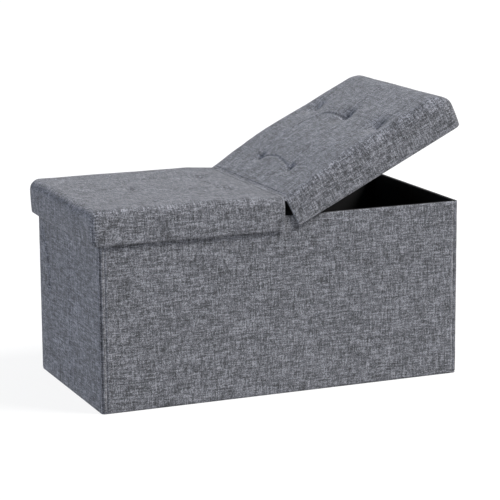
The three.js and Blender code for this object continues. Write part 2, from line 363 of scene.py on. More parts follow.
linen = makeLinen("linenWoven", linenLook, True)
linenEnds = makeLinen("linenWovenEnds", {**linenLook, "thread": 1.8 * mm, "spread": 2.1}, True)
linenBand = makeLinen("linenWovenBand", linenLook, False)
nonwoven = makeNonwoven(nonwovenLook)
fibreboard = makeFibreboard(boardLook)
thread = makeThread(threadLook)
print("materials made")


def makeMesh(name, points, faces, material, uvs=None):
    mesh = bpy.data.meshes.new(name)
    mesh.from_pydata([tuple(map(float, p)) for p in points], [], [tuple(map(int, f)) for f in faces])
    if uvs is not None:
        layer = mesh.uv_layers.new(name="weave")
        layer.data.foreach_set("uv", np.asarray(uvs, np.float32).ravel())
    mesh.polygons.foreach_set("use_smooth", [True] * len(mesh.polygons))
    mesh.materials.append(material)
    mesh.validate()
    return addObject(name, mesh)


def applyModifiers(obj):
    bpy.context.view_layer.update()
    graph = bpy.context.evaluated_depsgraph_get()
    mesh = bpy.data.meshes.new_from_object(obj.evaluated_get(graph))
    mesh.name = obj.name
    obj.modifiers.clear()
    obj.data = mesh
    return obj


def placesOf(mesh):
    co = np.zeros(len(mesh.vertices) * 3, np.float32)
    mesh.vertices.foreach_get("co", co)
    return co.reshape(-1, 3).astype(float)


def thicken(obj, thickness):  # inwards from the faces
    made = obj.modifiers.new("thickness", "SOLIDIFY")
    made.thickness = thickness
    made.offset = -1.0
    made.use_rim = True
    made.use_quality_normals = True
    return applyModifiers(obj)


def smoothStep(x):
    t = np.clip(x, 0.0, 1.0)
    return t * t * (3 - 2 * t)


def waves(points, size, seed):  # smooth noise from -1 to 1 at each point, from its place
    shift = Vector((seed * 13.1, seed * 7.7, seed * 3.3))
    return np.array([noise.noise(Vector(p) / size + shift) for p in points])


def stepsBetween(a, b, step):
    return np.linspace(a, b, max(2, int(round(abs(b - a) / step)) + 1))


lid = {
    "end": -lidLow.x,
    "side": lidHigh.y,
    "drop": foldHeight - lidLow.z,  # hem below the fold
    "crown": lidHigh.z - foldHeight,
    "crownRun": 52 * mm,
    "step": 5 * mm,
    "edgeRound": 16 * mm,  # rounding of the top edge, measured down
    "planRound": 12.5 * mm,  # and measured inwards, which is also the upright corners'
    "hemRound": 1.5 * mm,
    "hemWidth": 4.4 * mm,
    "skin": 1.0 * mm,
    "stripHalf": 6 * mm,
    "stripStep": 1.15 * mm,  # how far the skin lies lower under the fold strip
    "foldEdge": 0.5 * mm,
    "foldSlope": math.radians(4.6),  # both tops rise by this much from the fold
    "heldAtFold": 5,  # rows of points that don't puff up
    "heldAtHem": 4,
}
tuftPlaces = []
for i in range(1, 6):
    low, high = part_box(f"lid_left_tuft_tie_{i}")
    tuftPlaces.append((-(low.x + high.x) / 2, (low.y + high.y) / 2))

puffing = {
    "pressure": 4.0,
    "frames": 20,
    "topCap": {"left": 2.5 * mm, "right": 7.5 * mm},
    "sideCap": 2.2 * mm,
    "tuftHold": 7 * mm,
    "cloth": {
        "quality": 6,
        "mass": 0.3,
        "tension_stiffness": 30,
        "compression_stiffness": 30,
        "shear_stiffness": 10,
        "bending_stiffness": 2,
    },
}

sewing = {
    "tuftDepth": 10 * mm,
    "tuftSpread": 6.5 * mm,
    "tuftFloor": 2.5 * mm,
    "tuftPull": (0.9, 0.9, 0.4, 0.85, 0.4),  # the two by the long edges are drawn in least
    "creaseDepth": {"left": 1.5 * mm, "right": 2.1 * mm},
    "creaseWidth": 1.9 * mm,
    "ridge": 0.35,  # the cloth rises again on each side of a crease or seam by this share
    "ridgeAt": 2.6,  # crease widths away
    "pillow": {"left": 0.0, "right": 9.5 * mm},  # the half that is sat on has gone flatter
    "pillowSpread": 25 * mm,
    "openSlope": {"left": 0.062, "right": 0.106},  # steeper tops would meet when folded over
    "openRoom": 1.7 * mm,
    "endBulge": 2.6 * mm,
    "endFlare": 3.4 * mm,
    "sideBulge": 1.2 * mm,
    "ripple": 0.35,  # how unevenly the aprons bulge
    "rippleSize": 0.07,
    "seamDepth": 1.2 * mm,
    "seamWidth": 0.8 * mm,
    "seamRidgeAt": 2.2 * mm,
    "seamRidgeWidth": 1.2 * mm,
    "wave": 0.9 * mm,
    "waveSize": 0.11,
}


def lidSkin(c):
    # The shape of a half's cover: a top grid, and rows that go down the aprons to the hem
    rh, rv = c["planRound"], c["edgeRound"]
    flatEnd = c["end"] - rh
    flatSide = c["side"] - rh
    turns = [math.radians(a) for a in (15, 30, 45)]
    foldTurn = [(4.6 * mm, 0.0), (1.5 * mm, 0.0), (0.45 * mm, 0.45 * mm)]  # depth in, distance along
    stripEdge = c["foldEdge"] + c["stripHalf"]
    firstRun = [c["foldEdge"] + 1.5 * mm, stripEdge - 1.6 * mm, stripEdge - 0.5 * mm, stripEdge + 0.5 * mm]
    run = stepsBetween(stripEdge + 3 * mm, flatEnd, c["step"])
    us = [(c["foldEdge"] + d, 0.0, inset) for inset, d in foldTurn]
    us += [(u, 0.0, 0.0) for u in firstRun]
    us += [(u, 0.0, 0.0) for u in run]
    us += [(flatEnd, t, 0.0) for t in turns]
    ys = [(-flatSide, -t) for t in reversed(turns)]
    ys += [(y, 0.0) for y in stepsBetween(-flatSide, flatSide, c["step"])]
    ys += [(flatSide, t) for t in turns]

    def crowned(u):
        t = min(u / c["crownRun"], 1.0)
        rise = c["crown"] * (1 - (1 - t) ** 2) if t < 1 else c["crown"]
        rise = min(rise, u * math.tan(c["foldSlope"]))
        under = float(smoothStep((stripEdge + 0.5 * mm - u) / (1.0 * mm)))
        return rise - c["stripStep"] * under

    bottom = -c["drop"]
    rows = [("round", math.radians(a)) for a in (30, 15, 0)]
    rows += [("down", w) for w in stepsBetween(-rv + c["crown"], bottom + c["hemRound"], c["step"])[1:]]
    rows += [("hem", (0.44 * c["hemRound"], bottom + 0.44 * c["hemRound"]))]
    rows += [("hem", (c["hemRound"], bottom))]
    rows += [("hem", (c["hemWidth"], bottom))]
    nu, ny = len(us), len(ys)
    points = []

    def put(u, alpha, beta, y, kind, value, side, inset):
        top = crowned(u)
        centre = np.array([u, y, top - rv])
        if kind == "top":
            aim = np.array([math.tan(alpha), math.tan(beta), 1.0])
        elif side == "end":
            aim = np.array([1.0, math.tan(beta), math.tan(value) if kind == "round" else 0.0])
        else:
            sign = -1.0 if side == "front" else 1.0
            aim = np.array([math.tan(alpha), sign, math.tan(value) if kind == "round" else 0.0])
        aim = aim / np.linalg.norm(aim)
        p = centre + aim * np.array([rh, rh, rv])
        if kind == "down":
            p[2] = value
        if kind == "hem":
            level = np.array([aim[0], aim[1], 0.0])
            p = p - level * value[0]
            p[2] = value[1]
        if inset:
            if kind == "hem":
                p[2] = p[2] + min(inset, 1.0 * mm)
            else:
                p = p - aim * inset
        return p

    for u, alpha, inset in us:
        for y, beta in ys:
            points.append(put(u, alpha, beta, y, "top", 0.0, "top", inset))
    lines = [(i, 0) for i in range(nu)] + [(nu - 1, j) for j in range(1, ny)]
    lines += [(i, ny - 1) for i in range(nu - 2, -1, -1)]
    ring = [i * ny + j for i, j in lines]
    columns = [ring]
    sideOf = ["front"] * (nu - 1) + ["end"] * (ny - 1) + ["back"] * (nu - 1)
    for kind, value in rows:
        current = []
        for n, (i, j) in enumerate(lines):
            u, alpha, inset = us[i]
            y, beta = ys[j]
            if i == nu - 1 and 0 < j < ny - 1:
                p = put(u, alpha, beta, y, kind, value, "end", inset)
            else:
                p = put(u, alpha, beta, y, kind, value, "front" if j == 0 else "back", inset)
            current.append(len(points))
            points.append(p)
        columns.append(current)
    points = np.array(points)

    def runLength(index):  # lengths along the cloth, for the weave
        steps = np.linalg.norm(np.diff(points[index], axis=0), axis=1)
        return np.concatenate([[0.0], np.cumsum(steps)])

    middle = ny // 2
    alongU = runLength([i * ny + middle for i in range(nu)])
    alongU = alongU - alongU[3] + us[3][0]
    alongY = runLength([(nu // 2) * ny + j for j in range(ny)])
    alongY = alongY - alongY[middle] + ys[middle][0]
    downAt = runLength([col[nu // 2] for col in columns])

    faces, uvs = [], []
    for i in range(nu - 1):
        for j in range(ny - 1):
            faces.append([i * ny + j, (i + 1) * ny + j, (i + 1) * ny + j + 1, i * ny + j + 1])
            uvs += [(alongU[i], alongY[j]), (alongU[i + 1], alongY[j])]
            uvs += [(alongU[i + 1], alongY[j + 1]), (alongU[i], alongY[j + 1])]
    for k in range(len(columns) - 1):
        for n in range(len(lines) - 1):
            side = sideOf[n]
            faces.append([columns[k][n], columns[k + 1][n], columns[k + 1][n + 1], columns[k][n + 1]])
            for row, place in ((k, n), (k + 1, n), (k + 1, n + 1), (k, n + 1)):
                i, j = lines[place]
                if side == "front":
                    uvs.append((alongU[i], alongY[0] - downAt[row]))
                elif side == "back":
                    uvs.append((alongU[i], alongY[-1] + downAt[row]))
                else:
                    uvs.append((alongU[-1] + downAt[row], alongY[j]))
    held = set(range(c["heldAtFold"] * ny))
    for n, (i, j) in enumerate(lines):
        for k, column in enumerate(columns):
            if i < c["heldAtFold"] or k >= len(columns) - c["heldAtHem"]:
                held.add(column[n])
    return points, faces, np.array(uvs), held


def outwardNormals(points, faces):
    quads = np.array(faces)
    a, b, c, d = (points[quads[:, i]] for i in range(4))
    normals = np.cross(c - a, d - b)
    total = np.zeros_like(points)
    for i in range(4):
        np.add.at(total, quads[:, i], normals)
    return total / np.maximum(np.linalg.norm(total, axis=1, keepdims=True), 1e-12)


def puffUp(points, faces, held, c):
    # Cloth, inflated with its hem, fold edge and tufts held, gives how far each point swells
    base = makeMesh("puffing", points, faces, linen)
    grip = base.vertex_groups.new(name="held")
    tufted = [i for i, p in enumerate(points) if p[2] > -10 * mm and
              min(math.hypot(p[0] - u, p[1] - y) for u, y in tuftPlaces) < c["tuftHold"]]
    grip.add(sorted(held | set(tufted)), 1.0, "REPLACE")
    cloth = base.modifiers.new("cloth", "CLOTH")
    for key, value in c["cloth"].items():
        setattr(cloth.settings, key, value)
    cloth.settings.vertex_group_mass = "held"
    cloth.settings.use_pressure = True
    cloth.settings.uniform_pressure_force = c["pressure"]
    cloth.settings.effector_weights.gravity = 0
    cloth.collision_settings.use_collision = False
    cloth.point_cache.frame_end = c["frames"]
    for f in range(1, c["frames"] + 1):
        scene.frame_set(f)
    graph = bpy.context.evaluated_depsgraph_get()
    swollen = placesOf(base.evaluated_get(graph).to_mesh())
    base.evaluated_get(graph).to_mesh_clear()
    bpy.data.objects.remove(base)
    scene.frame_set(1)
    return swollen - points


creases = [  # where the cloth is drawn in: share of the full depth, then points in u and y, in mm
    (1.0, [(67, -72), (76, -38), (83, 12), (78, 44), (67, 72)]),
    (1.0, [(67, 72), (92, 86), (125, 94), (180, 90), (224, 74), (236, 38), (240, 0)]),
    (0.9, [(67, -72), (92, -56), (121, -52), (175, -42), (216, -28), (240, 0)]),
    (0.6, [(67, 72), (54, 82), (34, 98)]),
    (0.8, [(67, -72), (50, -90), (26, -104)]),
    (0.6, [(67, -72), (82, -98), (88, -124)]),
    (0.5, [(67, -72), (46, -60), (28, -36)]),
    (0.5, [(67, 72), (48, 62), (30, 40)]),
    (0.5, [(67, 72), (80, 104), (100, 128)]),
    (0.4, [(67, -72), (130, -112), (200, -134), (240, -140)]),
    (0.4, [(240, -140), (248, -70), (240, 0)]),
    (0.4, [(240, 0), (248, 70), (240, 140)]),
    (0.7, [(240, 0), (300, 12), (352, 30)]),
    (0.6, [(240, -140), (300, -150), (345, -128)]),
]


def smoothLine(corners, steps=14):  # a Catmull-Rom curve through the corners
    pts = [np.array(p, float) for p in corners]
    pts = [2 * pts[0] - pts[1], *pts, 2 * pts[-1] - pts[-2]]
    line = []
    for a, b, c, d in zip(pts, pts[1:], pts[2:], pts[3:]):
        for t in np.linspace(0, 1, steps, endpoint=False):
            line.append(0.5 * (2 * b + (c - a) * t + (2 * a - 5 * b + 4 * c - d) * t * t
                               + (3 * b - a - 3 * c + d) * t ** 3))
    line.append(pts[-2])
    return np.array(line)


def distanceTo(line, flat):  # from each flat point to a polyline
    best = np.full(len(flat), 1e9)
    for a, b in zip(line, line[1:]):
        d = b - a
        t = np.clip(((flat - a) @ d) / (d @ d), 0, 1)
        best = np.minimum(best, np.linalg.norm(flat - (a + t[:, None] * d), axis=1))
    return best


def sculptTop(points, c, side, seed):
    # Dents at the tufts, drawn creases between them, soft waves, bulging aprons and corner seams
    u, y, w = points[:, 0], points[:, 1], points[:, 2]
    onTop = smoothStep((w + 14 * mm) / (12 * mm))
    offFold = smoothStep((u - 14 * mm) / (26 * mm))
    moved = np.zeros(len(points))
    near = np.min([np.hypot(u - a, y - b) for a, b in tuftPlaces], axis=0)
    lift = 1 - np.exp(-(near / c["pillowSpread"]) ** 2)
    reach = smoothStep((lid["side"] + 8 * mm - np.abs(y)) / (26 * mm))
    reach = reach * smoothStep((lid["end"] + 6 * mm - u) / (40 * mm))
    moved += c["pillow"][side] * lift * reach * smoothStep((u - 14 * mm) / (110 * mm))
    moved += c["wave"] * waves(points, c["waveSize"], seed) * offFold
    moved += 0.45 * c["wave"] * waves(points, c["waveSize"] / 3, seed + 3) * offFold
    limit = np.maximum(np.minimum(lid["crown"], u * math.tan(lid["foldSlope"])),
                       u * c["openSlope"][side] - c["openRoom"])
    level = np.minimum(w + moved * onTop, limit)
    drawn = np.zeros(len(points))
    for share, corners in creases:
        line = smoothLine([(a * mm, b * mm) for a, b in corners])
        away = distanceTo(line, points[:, :2])
        ridge = c["ridge"] * np.exp(-((away - c["ridgeAt"] * c["creaseWidth"]) / c["creaseWidth"]) ** 2)
        drawn += share * (ridge - np.exp(-(away / c["creaseWidth"]) ** 2))
    drawn = c["creaseDepth"][side] * np.maximum(drawn, -1.15) * offFold
    points = points.copy()
    points[:, 2] = np.minimum(level + drawn * onTop, limit)
    below = np.sin(math.pi * np.clip((w + lid["drop"]) / (lid["drop"] + lid["crown"]), 0, 1)) ** 0.8
    below = below * smoothStep((w + lid["drop"] + 1 * mm) / (5 * mm))
    ripple = c["ripple"] * waves(points, c["rippleSize"], seed + 8)
    endShare = smoothStep((u - lid["end"] + 14 * mm) / (12 * mm))
    hung = smoothStep((lid["crown"] + 4 * mm - w) / (24 * mm))
    inU, inY = u - lid["end"] + lid["planRound"], np.abs(y) - lid["side"] + lid["planRound"]
    inset = lid["planRound"] - np.hypot(np.maximum(inU, 0), np.maximum(inY, 0))
    turnedIn = smoothStep((inset - 1.6 * mm) / (2.2 * mm)) * (w < 2.5 * mm - lid["drop"])
    hung = hung * (1 - turnedIn)  # the hem's inner edge stays over the rails
    points[:, 0] += (c["endBulge"] * below + c["endFlare"] * hung) * endShare * (1 + ripple)
    sideShare = smoothStep((np.abs(y) - lid["side"] + 14 * mm) / (12 * mm)) * offFold
    fromSeam = np.abs(np.arctan2(inY, inU) - math.pi / 4) * np.hypot(inU, inY)
    seamed = c["seamDepth"] * (inU > 0) * (inY > 0) * smoothStep((-4 * mm - w) / (10 * mm))
    seamed = seamed * (c["ridge"] * np.exp(-((fromSeam - c["seamRidgeAt"]) / c["seamRidgeWidth"]) ** 2)
                       - np.exp(-(fromSeam / c["seamWidth"]) ** 2))
    points[:, 1] += np.sign(y) * c["sideBulge"] * below * sideShare * (1 + ripple)
    points[:, 0] += seamed * 0.7  # both ways at once, along the corner's diagonal
    points[:, 1] += np.sign(y) * seamed * 0.7
    for (a, b), pull in zip(tuftPlaces, c["tuftPull"]):
        away = np.hypot(u - a, y - b)
        share = pull * np.exp(-np.maximum(away - c["tuftFloor"], 0) / c["tuftSpread"])
        share = share * smoothStep((34 * mm - away) / (14 * mm))
        floor = lid["crown"] - c["tuftDepth"]
        points[:, 2] = np.where(onTop > 0.5, points[:, 2] * (1 - share) + floor * share, points[:, 2])
    return points


def makeLidHalf(side, seed):
    name = f"lid_{side}_upholstery"
    points, faces, uvs, held = lidSkin(lid)
    swell = puffUp(points, faces, held, puffing)
    normals = outwardNormals(points, faces)
    out = (swell * normals).sum(1)
    onTop = smoothStep((points[:, 2] + 16 * mm) / (12 * mm))
    cap = puffing["sideCap"] + (puffing["topCap"][side] - puffing["sideCap"]) * onTop
    length = np.linalg.norm(swell, axis=1)
    share = cap * np.tanh(length / cap) / np.maximum(length, 1e-9)
    share = np.where(out > -0.2 * mm, share, share * 0.3)
    points = points + swell * share[:, None]
    obj = makeMesh(name, points, faces, linen, uvs)
    smooth = obj.modifiers.new("smooth", "SUBSURF")
    smooth.levels = smooth.render_levels = 1
    applyModifiers(obj)
    fine = placed(sculptTop(placesOf(obj.data), sewing, side, seed), side)
    obj.data.vertices.foreach_set("co", fine.astype(np.float32).ravel())
    if side == "left":
        obj.data.flip_normals()
        for loop in obj.data.uv_layers["weave"].data:
            loop.uv.x = -loop.uv.x
    obj.data.update()
    thicken(obj, lid["skin"])
    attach(obj, f"lid_{side}")
    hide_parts(f"lid_{side}_cover", f"lid_{side}_cushion")
    return obj


def placed(points, side):  # from a half's own u, y, w to the frame; w goes up from the fold
    u, y, w = points[:, 0], points[:, 1], points[:, 2]
    if side == "left":
        return np.stack([-u, y, foldHeight + w], 1)
    c, s = math.cos(lidAngle), math.sin(lidAngle)
    return np.stack([u * c - w * s, y, foldHeight + u * s + w * c], 1)


lidHalves = {side: makeLidHalf(side, seed) for side, seed in (("left", 1), ("right", 2))}
print("lid halves upholstered")

fold = {
    "half": 6 * mm,
    "lines": 9,
    "thickness": 0.9 * mm,
    "endTurn": math.radians(54),  # how far it goes round the front and back edges
    "panelGap": 0.6 * mm,
    "panelTop": 6.0 * mm,
    "panelBottom": 35 * mm,
    "panelSide": 4.9 * mm,
    "panelThick": 0.8 * mm,
}


def gridFaces(rows, columns, flip=False):
    faces = [[r * columns + k, r * columns + k + 1, (r + 1) * columns + k + 1, (r + 1) * columns + k]
             for r in range(rows - 1) for k in range(columns - 1)]
    return [f[::-1] for f in faces] if flip else faces


def gridUvs(faces, places):
    return np.array([places[i] for face in faces for i in face])


def tubeFaces(rows, n, flip=False):  # round a closed section of n points, with a face at each end
    faces = []
    for r in range(rows - 1):
        for k in range(n):
            k2 = (k + 1) % n
            faces.append([r * n + k, (r + 1) * n + k, (r + 1) * n + k2, r * n + k2])
    faces.append(list(range(n)))
    faces.append([(rows - 1) * n + k for k in range(n)][::-1])
    return [f[::-1] for f in faces] if flip else faces


def makeFoldStrip(c):
    # The cover runs on from one half to the other here, shaped to the bend of the fold at rest
    rh, rv = lid["planRound"], lid["edgeRound"]
    flatSide = lid["side"] - rh
    across = [(y, 0.0) for y in stepsBetween(0, flatSide, 5 * mm)]
    across += [(flatSide, a) for a in np.linspace(0, c["endTurn"], c["lines"])[1:]]
    across = [(-y, -a) for y, a in across[:0:-1]] + across
    points, flat = [], []
    for s in np.linspace(-c["half"], c["half"], c["lines"]):
        share = float(smoothStep((s + c["half"]) / (2 * c["half"])))
        turn = lidAngle * share
        for y, a in across:
            w = abs(s) * math.tan(lid["foldSlope"]) - rv * (1 - math.cos(a))
            x = s * math.cos(turn) - w * math.sin(turn)
            z = s * math.sin(turn) + w * math.cos(turn)
            points.append((x, y + rh * math.sin(a), foldHeight + z))
            flat.append((s, y + math.copysign(1, a) * abs(a) * (rh + rv) / 2))
    faces = gridFaces(c["lines"], len(across), True)
    obj = makeMesh("lid_fold_strip", points, faces, linen, gridUvs(faces, flat))
    thicken(obj, c["thickness"])
    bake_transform(obj)
    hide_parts("lid_hinge_seam")


def makeFoldPanel(side, c):
    # Black cloth closes the foam where the halves part
    fromFold = lid["foldEdge"] + c["panelGap"]
    ys = stepsBetween(-lid["side"] + c["panelSide"], lid["side"] - c["panelSide"], 6 * mm)
    ws = stepsBetween(-c["panelBottom"], -c["panelTop"], 3 * mm)
    points = np.array([(fromFold, y, w) for w in ws for y in ys])
    edge = np.minimum(1, (lid["side"] - c["panelSide"] - np.abs(points[:, 1])) / (15 * mm))
    points[:, 0] += 0.35 * mm * (1 + waves(points, 0.03, 9)) * edge
    faces = gridFaces(len(ws), len(ys), side == "right")
    obj = makeMesh(f"lid_{side}_fold_panel", placed(points, side), faces, nonwoven)
    thicken(obj, c["panelThick"] / 2)
    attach(obj, f"lid_{side}")


makeFoldStrip(fold)
for side in ("left", "right"):
    makeFoldPanel(side, fold)
print("fold covered")

wall = {
    "step": 4 * mm,
    "thickness": 1.0 * mm,
    "edgeFade": 22 * mm,
    "wave": 0.8 * mm,
    "waveSize": 0.16,
    "ripple": 0.3 * mm,
    "rippleSize": 0.045,
    "under": 0.35 * mm,  # the cloth can't sink further than this before it meets its board
    "lidRoom": 0.9 * mm,  # nor stand out further under the lid's aprons
    "standOut": 3.0 * mm,
    "wrinkle": 3.2 * mm,
    "wrinkleWidth": 3.6 * mm,
    "dip": 1.2 * mm,  # beside a wrinkle
    "dipAt": 9 * mm,
    "dipWidth": 4 * mm,
    "lip": 0.7 * mm,  # beside the crease down an end
    "lipAt": 4 * mm,
    "lipWidth": 3.5 * mm,
    "creaseDepth": 0.3 * mm,
    "creaseHalf": 0.8 * mm,
}


def directions(line):  # both ends of a wall's line, the way along it and the way out of the box
    a, b = (np.array(p) for p in line)
    along = (b - a) / np.linalg.norm(b - a)
    return a, b, along, np.array([along[1], -along[0]])


def makeWall(name, line, low, seed, c, wrinkles=(), crease=None):
    # A cover panel stretched between two upright edges, up to the top of the wall
    a, b, along, outward = directions(line)
    width = np.linalg.norm(b - a)
    runs = stepsBetween(0, width, c["step"])
    if crease is not None:
        extra = [crease + d * mm for d in (-3, -2, -1, 0, 1, 2, 3)]
        runs = np.array(sorted({*np.round(runs, 6), *extra}))
        keep = [True] + [bool(d > 0.4 * mm) for d in np.diff(runs)]
        runs = runs[keep]
    heights = stepsBetween(low, wallTop, c["step"])
    s, z = (g.ravel() for g in np.meshgrid(runs, heights))
    flat = np.stack([s, z], 1)
    space = np.stack([a[0] + along[0] * s, a[1] + along[1] * s, z], 1)
    out = c["wave"] * (0.3 + waves(space, c["waveSize"], seed))
    out = out + c["ripple"] * waves(space, c["rippleSize"], seed + 5)
    for wrinkle in wrinkles:
        away = distanceTo(smoothLine(wrinkle), flat)
        raised = c["wrinkle"] * np.exp(-(away / c["wrinkleWidth"]) ** 2)
        out += raised - c["dip"] * np.exp(-((away - c["dipAt"]) / c["dipWidth"]) ** 2)
    if crease is not None:
        away = np.abs(s - crease)
        out += c["lip"] * np.exp(-((away - c["lipAt"]) / c["lipWidth"]) ** 2)
    room = np.where(z > lidLow.z - 12 * mm, c["lidRoom"], c["standOut"])
    out = np.clip(out, -c["under"], room)
    edge = np.minimum.reduce([s, width - s, z - low, (wallTop - z) + 6 * mm])
    out = out * smoothStep(edge / c["edgeFade"])
    if crease is not None:
        out = np.where(np.abs(s - crease) < c["creaseHalf"], -c["creaseDepth"], out)
    space[:, 0] += outward[0] * out
    space[:, 1] += outward[1] * out
    faces = gridFaces(len(heights), len(runs))
    uvs = gridUvs(faces, flat + np.array([seed * 1.0, 0.0]))
    obj = makeMesh(name, space, faces, linen if crease is None else linenEnds, uvs)
    return thicken(obj, c["thickness"])


edgeOut = abs(cornerHigh.x) - 0.25 * mm
edgeSide = abs(cornerHigh.y) - 0.25 * mm
baseTop = backLow.z

# Each wall's two ends, seen from outside with the first on the left
frontLine = ((-edgeOut, -bodyY), (edgeOut, -bodyY))
backLine = ((edgeOut, bodyY), (-edgeOut, bodyY))
leftLine = ((-bodyX, edgeSide), (-bodyX, -edgeSide))
rightLine = ((bodyX, -edgeSide), (bodyX, edgeSide))
leftWrinkles = [[(0.012, 0.29), (0.04, 0.25), (0.052, 0.21), (0.056, 0.17)]]
rightWrinkles = [[(0.06, 0.28), (0.085, 0.24), (0.095, 0.2)]]

frontCover = makeWall("front_wall_upholstery", frontLine, frontLow.z, 11, wall)
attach(frontCover, "box_front")
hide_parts("front_wall_cover")
backCover = makeWall("back_wall_upholstery", backLine, baseTop, 12, wall)
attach(backCover, "box_back")
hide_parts("back_wall_cover")
leftCover = makeWall("left_end_upholstery", leftLine, baseTop, 13, wall, leftWrinkles, edgeSide)
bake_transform(leftCover)
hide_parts("left_end_front_cover", "left_end_back_cover")
rightCover = makeWall("right_end_upholstery", rightLine, baseTop, 14, wall, rightWrinkles, edgeSide)
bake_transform(rightCover)
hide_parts("right_end_front_cover", "right_end_back_cover")
print("walls covered")

creaseStrip = {
    "half": 7 * mm,
    "step": 1 * mm,
    "thickness": 0.25 * mm,
    "clear": 0.2 * mm,
}


def makeCreaseStrip(side, c):
    # The lining runs on across the middle of an end, so no board shows when the end folds in
    low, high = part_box(f"{side}_end_front_lining")
    inner, sign = (high.x, 1) if side == "left" else (low.x, -1)
    ys = stepsBetween(-c["half"], c["half"], c["step"])
    zs = stepsBetween(low.z + 0.5 * mm, wallTop - 0.4 * mm, 6 * mm)
    points = [(inner + sign * (c["clear"] + c["thickness"]), y, z) for z in zs for y in ys]
    faces = gridFaces(len(zs), len(ys), side == "right")
    obj = makeMesh(f"{side}_end_crease_strip", points, faces, nonwoven)
    thicken(obj, c["thickness"])
    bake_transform(obj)


for side in ("left", "right"):
    makeCreaseStrip(side, creaseStrip)

corner = {
    "along": bodyX - abs(cornerHigh.x),
    "deep": bodyY - abs(cornerHigh.y),
    "round": 7 * mm,
    "groove": 1.9 * mm,
    "grooveWidth": 0.8 * mm,
    "lip": 0.8 * mm,
    "lipAt": 2.6 * mm,
    "lipWidth": 1.5 * mm,
    "lap": 0.2 * mm,  # over the wall covers beside it
    "step": 6 * mm,
    "most": 0.6 * mm,  # out past the faces of the walls
}


def cornerOutline(c):  # from the long wall round to the end wall: distances in from the two outer faces
    outline = [(c["along"] + c["lap"], 0.0)]
    for t in np.linspace(0, 1, 25):
        a = t * math.pi / 2
        away = (t - 0.5) * math.pi / 2 * c["round"]
        lip = c["lip"] * math.exp(-((abs(away) - c["lipAt"]) / c["lipWidth"]) ** 2)
        r = c["round"] - c["groove"] * math.exp(-(away / c["grooveWidth"]) ** 2)
        r += lip * max(math.sin(2 * a), 0.0) ** 0.5
        outline.append((c["round"] - r * math.sin(a), c["round"] - r * math.cos(a)))
    outline.append((0.0, c["deep"] + c["lap"]))
    return outline


def makeCorner(name, seam, signX, signY, c, bodies):
    outline = cornerOutline(c)
    outer = len(outline)
    outline = outline + [(c["along"] * 0.8, c["deep"]), (c["along"], c["deep"])]
    heights = stepsBetween(baseTop, wallTop - 0.1 * mm, c["step"])
    n = len(outline)
    lengths = np.concatenate([[0], np.cumsum(np.linalg.norm(np.diff(np.array(outline), axis=0), axis=1))])
    points, flat = [], []
    for h in heights:
        ease = 1 + 0.03 * noise.noise(Vector((signX * 3.0, signY * 5.0, h * 40)))
        for k, (p, q) in enumerate(outline):
            if 0 < k < outer - 1:
                p = max(c["round"] - (c["round"] - p) * ease, -c["most"])
                q = max(c["round"] - (c["round"] - q) * ease, -c["most"])
            points.append((signX * (bodyX - p), signY * (bodyY - q), h))
            flat.append((lengths[k] + signX * 3 + signY, h))
    faces = tubeFaces(len(heights), n, signX * signY < 0)
    inside = [k >= outer - 1 for k in range(n)] * (len(heights) - 1) + [True, True]
    obj = makeMesh(name, points, faces, linen, gridUvs(faces, flat))
    obj.data.materials.append(nonwoven)
    obj.data.polygons.foreach_set("material_index", [int(black) for black in inside])
    obj.data.update()
    if len(bodies) == 1:
        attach(obj, bodies[0])
    else:
        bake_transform(obj)
    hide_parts(seam)


corners = [
    ("front_left_corner", -1, -1, ["box_front", "left_end_front"]),
    ("front_right_corner", 1, -1, ["box_front", "right_end_front"]),
    ("back_left_corner", -1, 1, ["box_back", "left_end_back"]),
    ("back_right_corner", 1, 1, ["box_back"]),
]
for name, signX, signY, bodies in corners:
    makeCorner(f"{name}_upholstery", f"{name}_seam", signX, signY, corner, bodies)
print("corners sewn")

binding = {
    "from": 1.3 * mm,  # in from the outer face
    "to": 6.7 * mm,
    "low": 2.7 * mm,  # below the top of the wall
    "high": 0.15 * mm,
    "round": 0.9 * mm,
    "step": 12 * mm,
    "uneven": 0.12 * mm,
}


def makeBinding(body, line, c):
    # The lining is turned over the top edge of its board
    a, b, along, outward = directions(line)
    w, low, high, r = c["to"] - c["from"], wallTop - c["low"], wallTop - c["high"], c["round"]
    section = [(0, low), (0, high - r), (0.3 * r, high - 0.3 * r), (r, high)]
    section += [(w / 2, high + 0.05 * mm), (w - r, high), (w - 0.3 * r, high - 0.3 * r)]
    section += [(w, high - r), (w, low)]
    n = len(section)
    points = []
    for s in stepsBetween(0, np.linalg.norm(b - a), c["step"]):
        for d, z in section:
            spot = a + along * s - outward * (c["from"] + d)
            bump = noise.noise(Vector((spot[0] * 30, spot[1] * 30, 1.0)))
            lift = c["uneven"] * bump if z > low else 0.0
            points.append((spot[0], spot[1], z + lift))
    obj = makeMesh(f"{body}_binding", points, tubeFaces(len(points) // n, n), nonwoven)
    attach(obj, body)


mid = 0.3 * mm  # each side of an end's crease, so that its two bindings don't meet
for body, line in (
    ("box_front", frontLine),
    ("box_back", backLine),
    ("left_end_front", ((-bodyX, -mid), leftLine[1])),
    ("left_end_back", (leftLine[0], (-bodyX, mid))),
    ("right_end_front", (rightLine[0], (bodyX, -mid))),
    ("right_end_back", ((bodyX, mid), rightLine[1])),
):
    makeBinding(body, line, binding)
print("top edges bound")

